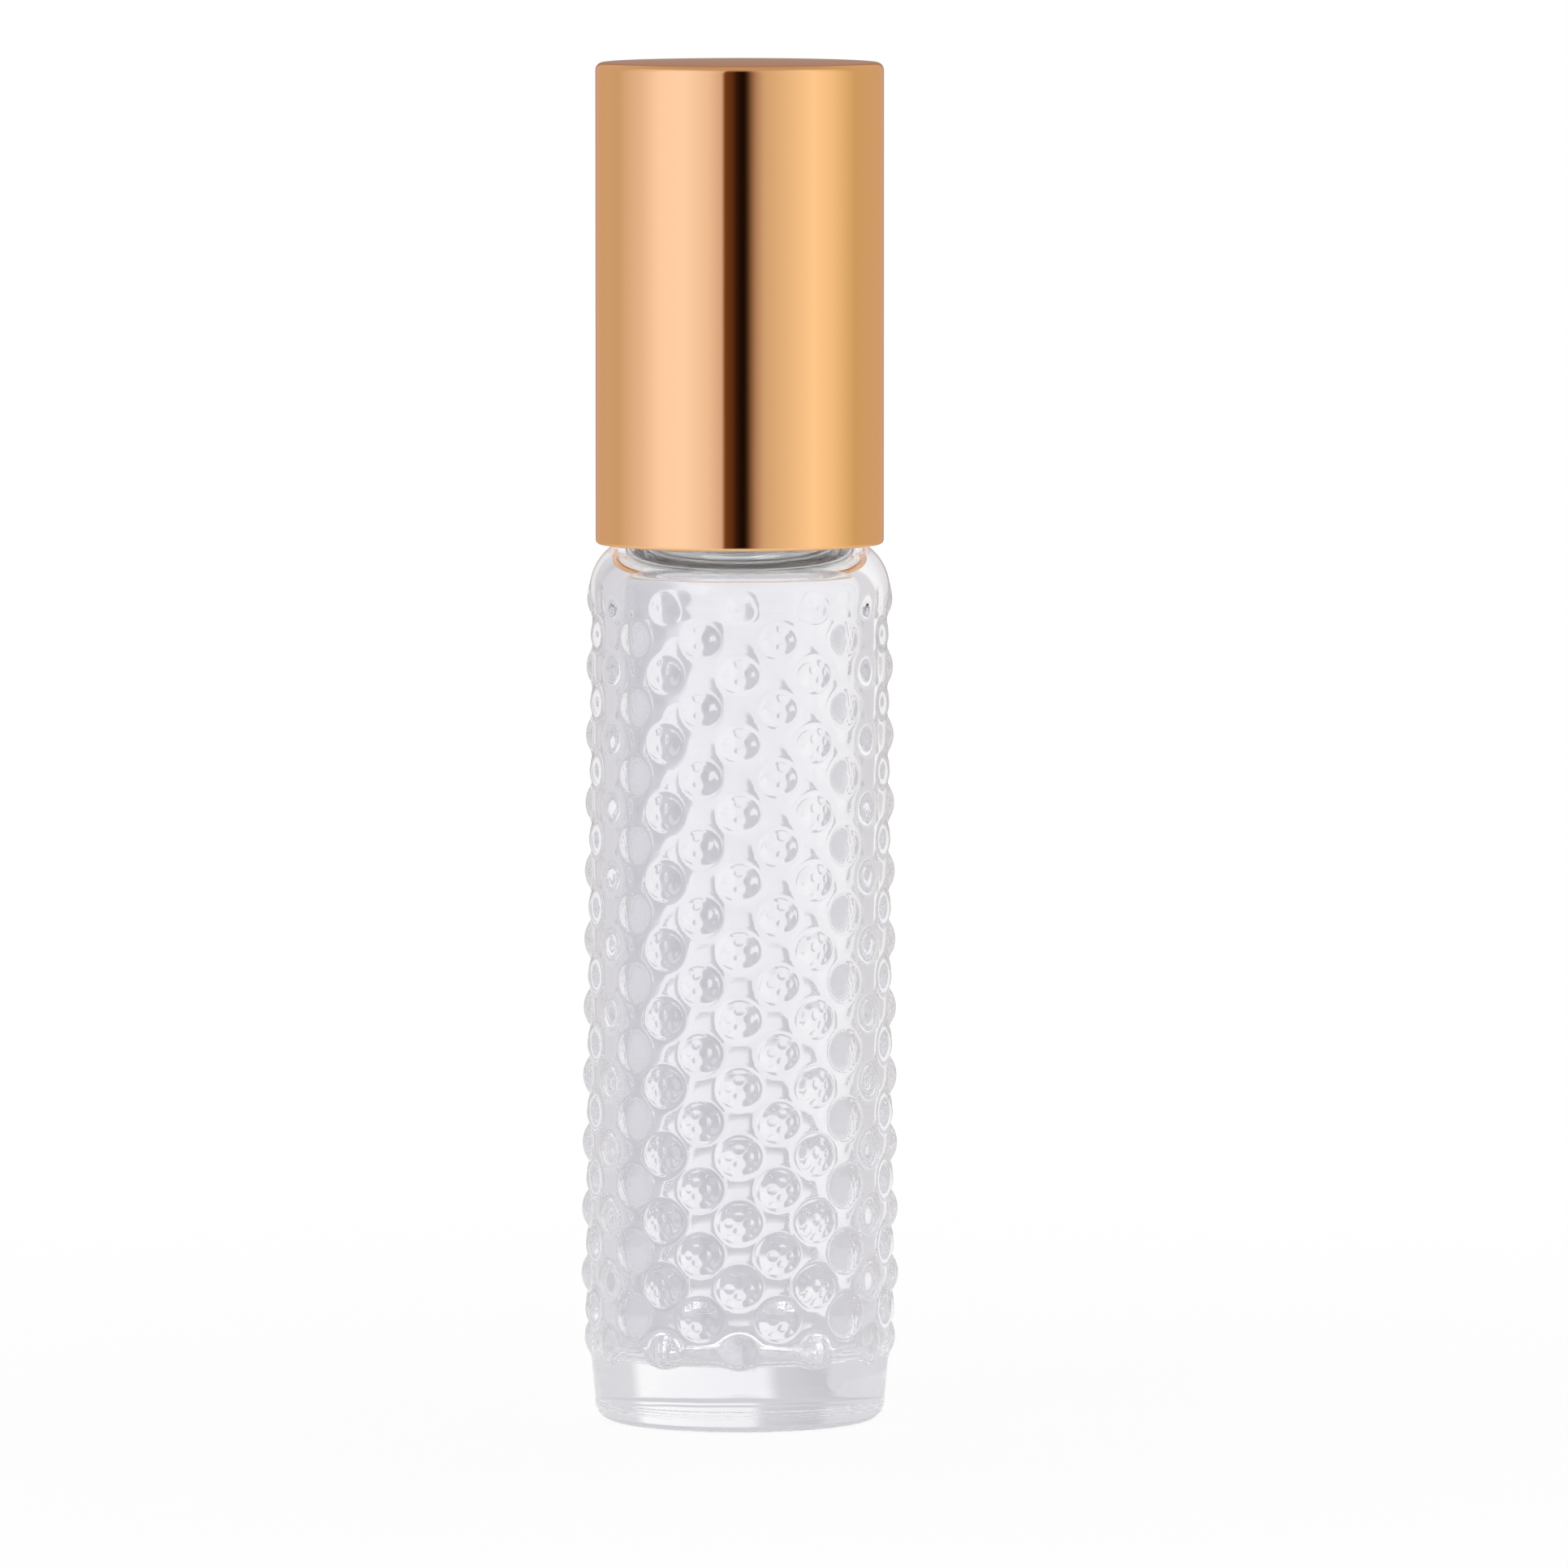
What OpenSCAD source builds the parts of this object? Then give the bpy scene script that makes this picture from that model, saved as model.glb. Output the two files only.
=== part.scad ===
// Roll-on bottle: a small moulded glass bottle with a bead pattern, a roller ball and a tall screw cap.
// Millimetres. Origin at the centre of the base ring, on the table. +Z is up and the front faces -Y.

/* [Glass body] */
// Glass diameter at the top of the foot band, without the beads
body_d = 19.44; // [18.8:0.02:20.4]
// How much narrower the glass is under the shoulder than at the foot band
body_taper = 0.44; // [0:0.02:1]
// Height where the rounded shoulder meets the neck
shoulder_z = 57.3; // [53:0.1:62]
// Radius of the rounded shoulder
shoulder_r = 3.5; // [3:0.1:4]
// How far the shoulder bulges past the glass below it
shoulder_bulge = 0.2; // [0.05:0.05:0.4]
// Height of the plain foot band
foot_h = 5; // [4:0.1:6]
// How much narrower the foot is at the heel than at the top of its band
foot_taper = 0.74; // [0.2:0.02:1.2]
// Radius of the rounded heel
heel_r = 1.1; // [0.6:0.1:1.6]
// Width of the flat ring that the bottle stands on
stand_w = 1.05; // [0.6:0.05:1.6]
// Depth of the hollow under the base
punt_h = 0.6; // [0.2:0.1:1]

/* [Glass walls] */
// Diameter of the cavity
cavity_d = 15.8; // [14:0.1:16.4]
// Height of the cavity's floor over the table
base_t = 4.2; // [3:0.1:6]
// Radius of the corner around the cavity's floor
cavity_corner_r = 1.2; // [1:0.1:3.5]
// Radius of the corner around the cavity's top, under the shoulder
cavity_top_r = 1.8; // [1:0.1:2.4]
// Thickness of the glass between the cavity's top and the top of the shoulder
shoulder_wall = 1.8; // [1.2:0.1:2.4]
// Diameter of the neck without its thread
neck_d = 13.4; // [13:0.1:13.6]
// Height of the neck from the shoulder to the rim
neck_h = 12.7; // [11.7:0.1:13.7]
// Bore of the neck
bore_d = 10.6; // [10.3:0.1:11]
// Rounding of the rim's outer edge
rim_r = 0.5; // [0.2:0.1:0.8]

/* [Bead pattern] */
// Pairs of bead columns around the glass, one column of each pair half a step lower
bead_pairs = 12; // [10:1:13]
// Vertical distance between the beads of one column
bead_pitch = 4.42; // [4:0.02:6]
// Radius of the sphere that each bead is a cap of
bead_r = 1.9; // [1.6:0.1:2.1]
// Height of the beads near the foot
bead_rise = 0.58; // [0.3:0.02:0.6]
// Height of the beads under the shoulder
bead_rise_top = 0.35; // [0.2:0.01:0.5]
// Distance from the shoulder's top down to the highest row of beads
bead_drop = 4.04; // [3.5:0.02:5]
// How far the lowest row reaches down into the foot band, before it is pushed up
foot_overlap = 0.36; // [0:0.02:0.6]
// How far the lowest row is pushed up towards the others
foot_squeeze = 0.7; // [0:0.05:1]
// Number of rows over which that push fades out
squeezed_rows = 4; // [2:1:6]
// Share of the full height that the lowest row's beads stand out
low_row_share = 0.6; // [0.4:0.05:1]

/* [Roller] */
// Diameter of the ball
ball_d = 9.8; // [9:0.1:10]
// Height of the ball's centre over the glass rim
ball_lift = 3; // [2.5:0.1:3.4]
// Wall of the collar round the ball
collar_wall = 0.72; // [0.5:0.01:0.9]
// Depth of the housing's plug in the neck
plug_h = 7; // [6:0.1:9]
// Wall of the plug
plug_wall = 1; // [0.7:0.1:1.3]
// Width of the taper that leads the plug into the neck
lead_in_w = 0.4; // [0.2:0.05:0.6]
// Height of that taper
lead_in_h = 0.9; // [0.5:0.05:1]
// Hole that wets the ball from below
feed_d = 6.4; // [4:0.1:7]
// Thickness of the web that holds the seat, under the ball
web_t = 1; // [0.8:0.1:1.5]
// Thickness of the housing's flange on the rim
flange_t = 1; // [0.8:0.1:1.2]
// Height of the housing's lip over the ball's centre
lip_h = 2.3; // [1.8:0.1:2.8]
// How far the flange's edge lies inside the neck's
flange_inset = 0.1; // [0:0.05:0.4]
// Number of sealing ribs on the plug
plug_ribs = 3; // [2:1:3]
// Distance from the glass rim down to the first rib
first_rib = 2.2; // [1.6:0.1:2.4]
// Distance between the ribs
rib_gap = 1.8; // [1.2:0.1:1.8]
// Radius of the ribs' rounded edge
rib_bump_r = 0.35; // [0.3:0.05:0.5]

/* [Cap] */
// Outer diameter of the metal shell
cap_d = 18.6; // [18.4:0.1:20]
// Height of the metal shell
cap_h = 31.2; // [28:0.1:36]
// Thickness of the metal shell
shell_t = 0.5; // [0.3:0.05:0.6]
// Rounding of the shell's upper edge
cap_edge_r = 0.5; // [0.3:0.1:1.2]
// How much the shell's top is domed
crown_h = 0.15; // [0.1:0.05:0.5]
// How far the shell reaches down past the shoulder's top
cap_overlap = 0.5; // [0:0.1:0.8]
// Bore of the liner around the neck's thread
liner_bore_d = 15.1; // [14.9:0.1:15.8]
// How far the liner's wide bore reaches up past the glass rim
bore_overrun = 0.5; // [0.2:0.1:0.8]
// Thickness of the liner's ceiling
ceiling_t = 1.2; // [0.8:0.1:2]
// Wall of the liner above its ceiling
crown_wall = 1.1; // [0.8:0.1:1.4]
// Number of ribs that stiffen the liner above its ceiling
crown_ribs = 6; // [4:1:8]
// Thickness of those ribs
crown_rib_t = 0.8; // [0.6:0.1:1.2]
// Thickness of the seal over the ball's top
seal_t = 1.2; // [0.8:0.1:1.6]
// How far the seal reaches down round the ball's top
seal_skirt = 0.7; // [0.4:0.1:0.8]

/* [Clearances] */
// Running clearance between the ball and its socket
ball_clear = 0.08; // [0.03:0.01:0.1]
// Clearance between the plug and the bore
plug_clear = 0.2; // [0.1:0.05:0.3]
// How much larger the sealing ribs' radius is than the bore's
rib_squeeze = 0.05; // [0.02:0.01:0.08]
// Clearance between the liner and the shell
liner_clear = 0.05; // [0.02:0.01:0.1]
// Clearance between the liner and the housing's flange
flange_clear = 0.4; // [0.2:0.1:0.6]
// Clearance around the seal in the liner
seal_gap = 0.7; // [0.2:0.1:1]
// Clearance between the seal and the ball
seal_clear = 0.1; // [0.05:0.05:0.2]
// Clearance between the seal and the liner's ceiling
seal_play = 0.05; // [0.02:0.01:0.1]
// Clearance between the liner and the shoulder
liner_lift = 0.5; // [0.3:0.1:0.8]

/* [Hidden] */
$fn = 96;
over = 1;

body_r = body_d / 2;
top_r = body_r - body_taper / 2;
foot_r = body_r - foot_taper / 2;
heel_c = [foot_r - heel_r, heel_r];
stand_r = heel_c[0];
punt_r = stand_r - stand_w;
punt_curve = (punt_r * punt_r + punt_h * punt_h) / (2 * punt_h);

shoulder_c = [top_r + shoulder_bulge - shoulder_r, shoulder_z - shoulder_r];
neck_r = neck_d / 2;
bore_r = bore_d / 2;
rim_z = shoulder_z + neck_h;

cavity_r = cavity_d / 2;
cavity_top_z = shoulder_z - shoulder_wall;
inner_shoulder_c = [cavity_r - cavity_top_r, cavity_top_z - cavity_top_r];

low_row_z = foot_h - foot_overlap;
high_row_z = shoulder_z - bead_drop;
bead_gaps = round((high_row_z - low_row_z) / bead_pitch);
row_step = (high_row_z - low_row_z) / bead_gaps;
bead_bury = 0.25;

ball_r = ball_d / 2;
ball_z = rim_z + ball_lift;
socket_r = ball_r + ball_clear;
collar_r = socket_r + collar_wall;
flange_r = neck_r - flange_inset;
flange_top = rim_z + flange_t;
lip_z = ball_z + lip_h;
plug_r = bore_r - plug_clear;
plug_z = rim_z - plug_h;
feed_r = feed_d / 2;
web_z = ball_z - socket_r - web_t;

cap_r = cap_d / 2;
cap_z = shoulder_z - cap_overlap;
cap_top = cap_z + cap_h;
cap_side_top = cap_top - crown_h;
shell_in_r = cap_r - shell_t;
shell_in_top = cap_side_top - shell_t;
crown_r = cap_r - cap_edge_r;
crown_curve = (crown_r * crown_r + crown_h * crown_h) / (2 * crown_h);

seal_top = ball_z + ball_r + seal_clear + seal_t;
seal_bottom = ball_z + ball_r - seal_skirt;
liner_r = shell_in_r - liner_clear;
liner_z = cap_z + liner_lift;
liner_top = shell_in_top - liner_clear;
liner_step_z = rim_z + bore_overrun;
liner_upper_r = flange_r + flange_clear;
seal_r = liner_upper_r - seal_gap;
ceiling_z = seal_top + seal_play;
crown_hollow_r = liner_r - crown_wall;
crown_rib_r = crown_hollow_r + crown_wall / 3;

// Glass radius at height z, without the beads
function glass_r(z) = body_r - (body_r - top_r) * (z - foot_h) / (shoulder_c[1] - foot_h);

// Height of row t, counted from the lowest one. Half steps are the columns in between
function row_z(t) =
    low_row_z + row_step * t + foot_squeeze * pow(max(0, 1 - t / squeezed_rows), 2);

// How far the beads of row t stand out
function row_rise(t) =
    (bead_rise + (bead_rise_top - bead_rise) * t / bead_gaps) * (t == 0 ? low_row_share : 1);

module glass_outline() {
    polygon([
        [0, 0],
        [stand_r, 0],
        heel_c,
        [foot_r, heel_r],
        [body_r, foot_h],
        [top_r, shoulder_c[1]],
        [0, shoulder_c[1]]
    ]);
    translate(heel_c)
        circle(heel_r);
    translate(shoulder_c)
        circle(shoulder_r);
    translate([0, shoulder_c[1] - over])
        square([neck_r, rim_z - rim_r - shoulder_c[1] + over]);
    translate([0, rim_z - rim_r - over])
        square([neck_r - rim_r, rim_r + over]);
    translate([neck_r - rim_r, rim_z - rim_r])
        circle(rim_r, $fn = 48);
}

module cavity_outline() {
    translate([0, base_t + cavity_corner_r])
        square([cavity_r, inner_shoulder_c[1] - base_t - cavity_corner_r]);
    translate([0, base_t])
        square([cavity_r - cavity_corner_r, cavity_corner_r + over]);
    translate([cavity_r - cavity_corner_r, base_t + cavity_corner_r])
        circle(cavity_corner_r);
    translate([0, inner_shoulder_c[1] - over])
        square([inner_shoulder_c[0], cavity_top_r + over]);
    translate(inner_shoulder_c)
        circle(cavity_top_r);
    translate([0, cavity_top_z - over])
        square([bore_r, rim_z - cavity_top_z + 2 * over]);
}

// One bead, with the glass surface at z = 0 and the bead standing up
module bead(rise) {
    rotate_extrude($fn = 32)
        intersection() {
            translate([0, rise - bead_r])
                circle(bead_r, $fn = 64);
            translate([0, -bead_bury])
                square([bead_r, bead_bury + rise + over]);
        }
}

module bead_ring(t, turn) {
    z = row_z(t);
    for (k = [0 : bead_pairs - 1])
        rotate([0, 0, turn - 90 + k * 360 / bead_pairs])
            translate([glass_r(z), 0, z])
                rotate([0, 90, 0])
                    bead(row_rise(t));
}

module glass_bottle() {
    color([0.86, 0.89, 0.91, 0.5])
        union() {
            rotate_extrude()
                difference() {
                    glass_outline();
                    cavity_outline();
                    translate([0, punt_h - punt_curve])
                        circle(punt_curve, $fn = 360);
                }
            for (i = [0 : bead_gaps])
                bead_ring(i, 0);
            for (i = [0 : bead_gaps - 1])
                bead_ring(i + 0.5, 180 / bead_pairs);
        }
}

module roller_housing() {
    color([0.93, 0.94, 0.95])
        rotate_extrude()
            difference() {
                union() {
                    polygon([
                        [0, plug_z],
                        [plug_r - lead_in_w, plug_z],
                        [plug_r, plug_z + lead_in_h],
                        [plug_r, flange_top],
                        [0, flange_top]
                    ]);
                    for (k = [0 : plug_ribs - 1])
                        translate([bore_r + rib_squeeze - rib_bump_r, rim_z - first_rib - k * rib_gap])
                            circle(rib_bump_r, $fn = 32);
                    translate([0, rim_z])
                        square([flange_r, flange_t]);
                    intersection() {
                        translate([0, ball_z])
                            circle(collar_r);
                        translate([0, rim_z])
                            square([collar_r + over, lip_z - rim_z]);
                    }
                }
                translate([0, ball_z])
                    circle(socket_r);
                translate([0, plug_z - over])
                    square([plug_r - plug_wall, web_z - plug_z + over]);
                translate([0, web_z - over])
                    square([feed_r, ball_z - web_z]);
            }
}

module roller_ball() {
    color([0.75, 0.76, 0.78])
        translate([0, 0, ball_z])
            sphere(ball_r);
}

module cap_shell() {
    color([0.93, 0.7, 0.45])
        rotate_extrude()
            difference() {
                union() {
                    translate([0, cap_z])
                        square([cap_r, cap_side_top - cap_edge_r - cap_z]);
                    translate([crown_r, cap_side_top - cap_edge_r])
                        circle(cap_edge_r, $fn = 48);
                    intersection() {
                        translate([0, cap_top - crown_curve])
                            circle(crown_curve, $fn = 720);
                        translate([0, cap_z + over])
                            square([crown_r, cap_h]);
                    }
                }
                translate([0, cap_z - over])
                    square([shell_in_r, shell_in_top - cap_z + over]);
            }
}

module cap_liner() {
    color([0.95, 0.95, 0.94])
        union() {
            rotate_extrude()
                difference() {
                    translate([0, liner_z])
                        square([liner_r, liner_top - liner_z]);
                    translate([0, liner_z - over])
                        square([liner_bore_d / 2, liner_step_z - liner_z + over]);
                    translate([0, liner_step_z - over])
                        square([liner_upper_r, ceiling_z - liner_step_z + over]);
                    translate([0, ceiling_z + ceiling_t])
                        square([crown_hollow_r, liner_top - ceiling_z]);
                }
            for (k = [0 : crown_ribs - 1])
                rotate([0, 0, k * 360 / crown_ribs])
                    translate([0, -crown_rib_t / 2, ceiling_z + ceiling_t / 2])
                        cube([crown_rib_r, crown_rib_t, liner_top - ceiling_z - ceiling_t / 2]);
        }
}

module cap_seal() {
    color([0.88, 0.88, 0.86])
        difference() {
            translate([0, 0, seal_bottom])
                cylinder(r = seal_r, h = seal_top - seal_bottom);
            translate([0, 0, ball_z])
                sphere(ball_r + seal_clear);
        }
}

glass_bottle();
roller_housing();
roller_ball();
cap_shell();
cap_liner();
cap_seal();
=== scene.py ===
import math

import bmesh
import bpy
from mathutils import Matrix, Vector


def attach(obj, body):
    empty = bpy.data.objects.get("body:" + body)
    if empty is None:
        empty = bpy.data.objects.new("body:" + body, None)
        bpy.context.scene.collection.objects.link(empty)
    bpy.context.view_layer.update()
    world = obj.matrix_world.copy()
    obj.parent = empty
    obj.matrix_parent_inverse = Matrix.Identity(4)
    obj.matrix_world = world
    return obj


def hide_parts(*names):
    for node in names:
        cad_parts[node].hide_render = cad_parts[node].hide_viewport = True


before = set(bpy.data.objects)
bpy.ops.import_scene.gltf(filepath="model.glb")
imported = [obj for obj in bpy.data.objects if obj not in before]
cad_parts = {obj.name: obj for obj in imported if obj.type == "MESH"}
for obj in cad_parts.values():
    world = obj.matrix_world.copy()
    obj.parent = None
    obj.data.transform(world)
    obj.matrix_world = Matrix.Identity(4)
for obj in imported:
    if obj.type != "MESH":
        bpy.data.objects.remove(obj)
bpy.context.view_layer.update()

# Sizes are in millimetres, as in the CAD source. Blender works in metres
MM = 0.001

# Glass body, from the table up
STAND_R = 8.25
PUNT_R = 7.2
PUNT_H = 0.6
HEEL_R = 1.1
FOOT_R = 9.35
FOOT_H = 5.0
BODY_R = 9.72
TOP_R = 9.5
SHOULDER_C = (6.2, 53.8)
SHOULDER_R = 3.5
NECK_R = 6.7
RIM_Z = 70.0
RIM_ROUND = 0.5
BORE_R = 5.3
BORE_EDGE_R = 0.3

# Points of the fillet under the neck: out from the neck, and up from the shoulder's top
NECK_FILLET = ((0.13, 0.06), (0, 0.4))

# Hollow inside the glass
CAVITY_R = 7.9
FLOOR_Z = 4.2
FLOOR_CORNER_R = 1.2
CEILING_CORNER_R = 1.8
CAVITY_TOP_Z = 55.5

# Where the body's side runs over into the shoulder: below its centre, and in degrees round it
BLEND_DROP = 1.5
SHOULDER_FROM = -14.0
SHOULDER_TO = 76.0

# Beads moulded on the glass: every second column sits half a step lower
BEAD_PAIRS = 12
BEAD_R = 1.9
BEAD_RISE = 0.58
BEAD_RISE_TOP = 0.35
LOW_ROW_Z = 4.64
HIGH_ROW_Z = 53.26
BEAD_GAPS = 11
FOOT_SQUEEZE = 0.7
SQUEEZED_ROWS = 4
LOW_ROW_SHARE = 0.6
BEAD_FILLET = 0.16
STEPS_A_PAIR = 22

# Faint rings that the mould leaves above the heel
HEEL_RINGS = (0.5, 0.84, 1.18)
HEEL_RING_RISE = 0.035
HEEL_RING_HALF_W = 0.2
RINGS_TOP = 1.5

# Fine notches of the base ring
NOTCHES = 66
NOTCH_DEPTH = 0.06

# Soft waves of the inner wall: their rise, how many go round, and radians a millimetre upwards by
# which they turn and by which they swell and fade
WALL_WAVE = 0.03
WALL_LOBES = 3
WALL_TWIST = 0.11
WALL_SWELL = 0.21

# Radius within which the glass stays plain, the least one outside, and how near counts as on a wall
PLAIN_R = 1
OUTSIDE_R = CAVITY_R + 0.8
ON_WALL = 0.01

# Thread of the neck and of the liner, one start, right-handed
THREAD_LEAD = 3.0
THREAD_TURNS = 1.5
RUN_OUTS_A_TURN = 12
NECK_THREAD_Z = 61.9
LINER_THREAD_Z = 60.4
THREAD_RISE = 0.68
THREAD_HALF_W = 0.75
TRANSFER_RING_Z = 59.0
TRANSFER_RING_RISE = 0.42
TRANSFER_RING_HALF_W = 0.7

# The liner's thread: its section, sunk a little way into the wall that carries it, the steps of its
# screw line, and how far past its ends the run-out begins
LINER_THREAD_RISE = 0.62
LINER_THREAD_SUNK = 0.1
LINER_ROOT_HALF_W = 0.55
LINER_CREST_HALF_W = 0.2
LINER_THREAD_STEPS = 144
LINER_THREAD_PAST = 0.2

# Roller
BALL_R = 4.9
BALL_Z = 73.0
SOCKET_R = 4.98
COLLAR_R = 5.7
FLANGE_R = 6.6
FLANGE_TOP = 71.0
LIP_Z = 75.3
PLUG_R = 5.1
PLUG_WALL = 1.0
PLUG_Z = 63.0
WEB_Z = 67.02
FEED_R = 3.2
RIB_C_R = 5.0
RIB_BUMP_R = 0.35
RIB_HEIGHTS = (67.8, 66.0, 64.2)
PLUG_LEAD_IN = (0.4, 0.75)

# Width of the rows that keep a face true next to a rounded edge
HOLD = 0.05

# Cap
CAP_R = 9.3
CAP_Z = 56.8
CAP_TOP = 88.0
CAP_SIDE_TOP = 87.85
CAP_EDGE_R = 0.5
CAP_EDGE_SWEEP = 88
SHELL_IN_R = 8.8
SHELL_IN_TOP = 87.35
SHELL_IN_CORNER_R = 0.3
LINER_R = 8.75
LINER_Z = 57.3
LINER_TOP = 87.3
LINER_BORE_R = 7.55
LINER_STEP_Z = 70.5
LINER_UPPER_R = 7.0
LINER_LEAD_IN = (0.4, 0.5)
CEILING_Z = 79.25
CEILING_T = 1.2
CROWN_HOLLOW_R = 7.65
CROWN_RIBS = 6
CROWN_RIB_T = 0.8
CROWN_RIB_SUNK = 0.4
SEAL_R = 6.3
SEAL_Z = (77.2, 79.2)
SEAL_CUP_R = 5.0


# Outlines: a vertex is carried along in straight lines and arcs, then the wire is turned round Z

def pen(bm, r, z):
    """Sets the pen down on the outline's first point."""
    return bm.verts.new((r * MM, 0, z * MM))


def line(bm, tip, r, z, rows=1):
    """Draws on to a point, with the line cut into rows."""
    step = (Vector((r * MM, 0, z * MM)) - tip.co) / rows
    for _ in range(rows):
        start = tip.co.copy()
        tip = bmesh.ops.extrude_vert_indiv(bm, verts=[tip])["verts"][0]
        tip.co = start + step
    return tip


def arc(bm, tip, centre, degrees, steps):
    """Draws on round a centre, anticlockwise as seen from the front."""
    made = bmesh.ops.spin(
        bm, geom=[tip], cent=(centre[0] * MM, 0, centre[1] * MM), axis=(0, -1, 0),
        angle=math.radians(degrees), steps=steps)
    return made["geom_last"][0]


def height_on(radius, across):
    """How high a circle of this radius stands at this distance from its centre line."""
    return math.sqrt(radius * radius - across * across)


def turn(bm, steps):
    """Turns the outline into a closed body round the Z axis."""
    bmesh.ops.spin(
        bm, geom=bm.verts[:] + bm.edges[:], cent=(0, 0, 0), axis=(0, 0, 1),
        angle=2 * math.pi, steps=steps, use_merge=True)
    bmesh.ops.remove_doubles(bm, verts=bm.verts, dist=0.0001 * MM)
    bmesh.ops.recalc_face_normals(bm, faces=bm.faces)


def soften(bm, width, degrees=30, segments=3):
    """Rounds every corner sharper than the given angle, as a mould does."""
    sharp = [e for e in bm.edges if e.is_manifold and e.calc_face_angle() > math.radians(degrees)]
    bmesh.ops.bevel(
        bm, geom=sharp, offset=width * MM, offset_type="OFFSET", affect="EDGES",
        segments=segments, profile=0.5, material=-1)


def true_faces(made):
    """Shades flat faces flat, right up to their rounded edges."""
    weighted = made.modifiers.new("true_faces", "WEIGHTED_NORMAL")
    weighted.keep_sharp = True


def piece(bm, name, body, nodes, material):
    """Makes the mesh a piece of the object that moves with a body and stands for CAD nodes."""
    for face in bm.faces:
        face.smooth = True
    mesh = bpy.data.meshes.new(name)
    bm.to_mesh(mesh)
    bm.free()
    made = bpy.data.objects.new(name, mesh)
    bpy.context.scene.collection.objects.link(made)
    made.data.materials.append(material)
    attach(made, body)
    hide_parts(*nodes)
    return made


# Glass

def glass_r(z):
    """Radius of the glass without its beads."""
    return BODY_R - (BODY_R - TOP_R) * (z - FOOT_H) / (SHOULDER_C[1] - FOOT_H)


def bead_rows():
    """Height, rise and turn of each ring of beads, from the foot up."""
    step = (HIGH_ROW_Z - LOW_ROW_Z) / BEAD_GAPS
    rows = []
    for half_steps in range(2 * BEAD_GAPS + 1):
        t = half_steps / 2
        z = LOW_ROW_Z + step * t + FOOT_SQUEEZE * max(0, 1 - t / SQUEEZED_ROWS) ** 2
        rise = BEAD_RISE + (BEAD_RISE_TOP - BEAD_RISE) * t / BEAD_GAPS
        if half_steps == 0:
            rise *= LOW_ROW_SHARE
        rows.append((z, rise, (half_steps % 2) * math.pi / BEAD_PAIRS))
    return rows


def smooth_max(a, b, width):
    """The larger of two radii, with a fillet where they cross."""
    near = max(width - abs(a - b), 0) / width
    return max(a, b) + near * near * width / 4


def beaded_r(r, azimuth, z, rows):
    """Radius of the glass with the bead that stands at this place, if there is one."""
    pitch = 2 * math.pi / BEAD_PAIRS
    for row_z, rise, turned in rows:
        if abs(z - row_z) > BEAD_R:
            continue
        off = (azimuth - turned + pitch / 2) % pitch - pitch / 2
        centre = glass_r(row_z) + rise - BEAD_R
        room = BEAD_R ** 2 - (z - row_z) ** 2 - (centre * math.sin(off)) ** 2
        if room > 0:
            r = smooth_max(r, centre * math.cos(off) + math.sqrt(room), BEAD_FILLET)
    return r


def ridge(off, half_width):
    """Share of a ridge's full rise at a distance from its crest."""
    near = max(0.0, 1 - abs(off) / half_width)
    return near * near * (3 - 2 * near)


def thread_share(azimuth, z, start_z):
    """Share of the thread's full rise at a place, with its ends run out."""
    best = 0.0
    for lap in range(math.ceil(THREAD_TURNS) + 1):
        turns = azimuth / (2 * math.pi) + lap
        ends = min(turns, THREAD_TURNS - turns) * RUN_OUTS_A_TURN
        if ends > 0:
            share = ridge(z - start_z - THREAD_LEAD * turns, THREAD_HALF_W)
            best = max(best, share * min(1.0, ends))
    return best


def outside_outline(bm):
    """Half section of the glass's outside, from the middle of the base up to the rim."""
    punt_curve = (PUNT_R ** 2 + PUNT_H ** 2) / (2 * PUNT_H)
    tip = pen(bm, 0, PUNT_H)
    tip = arc(bm, tip, (0, PUNT_H - punt_curve), -math.degrees(math.asin(PUNT_R / punt_curve)), steps=8)
    tip = line(bm, tip, STAND_R, 0, rows=3)
    tip = arc(bm, tip, (STAND_R, HEEL_R), 90, steps=18)
    rings_top_r = FOOT_R + (BODY_R - FOOT_R) * (RINGS_TOP - HEEL_R) / (FOOT_H - HEEL_R)
    tip = line(bm, tip, rings_top_r, RINGS_TOP, rows=4)
    tip = line(bm, tip, BODY_R, FOOT_H, rows=13)
    blend_z = SHOULDER_C[1] - BLEND_DROP
    tip = line(bm, tip, glass_r(blend_z), blend_z, rows=189)
    low = math.radians(SHOULDER_FROM)
    tip = line(bm, tip, SHOULDER_C[0] + SHOULDER_R * math.cos(low),
               SHOULDER_C[1] + SHOULDER_R * math.sin(low), rows=3)
    tip = arc(bm, tip, SHOULDER_C, SHOULDER_TO - SHOULDER_FROM, steps=22)
    for out, up in NECK_FILLET:
        tip = line(bm, tip, NECK_R + out, SHOULDER_C[1] + SHOULDER_R + up)
    tip = line(bm, tip, NECK_R, RIM_Z - RIM_ROUND, rows=39)
    return arc(bm, tip, (NECK_R - RIM_ROUND, RIM_Z - RIM_ROUND), 90, steps=5)


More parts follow.
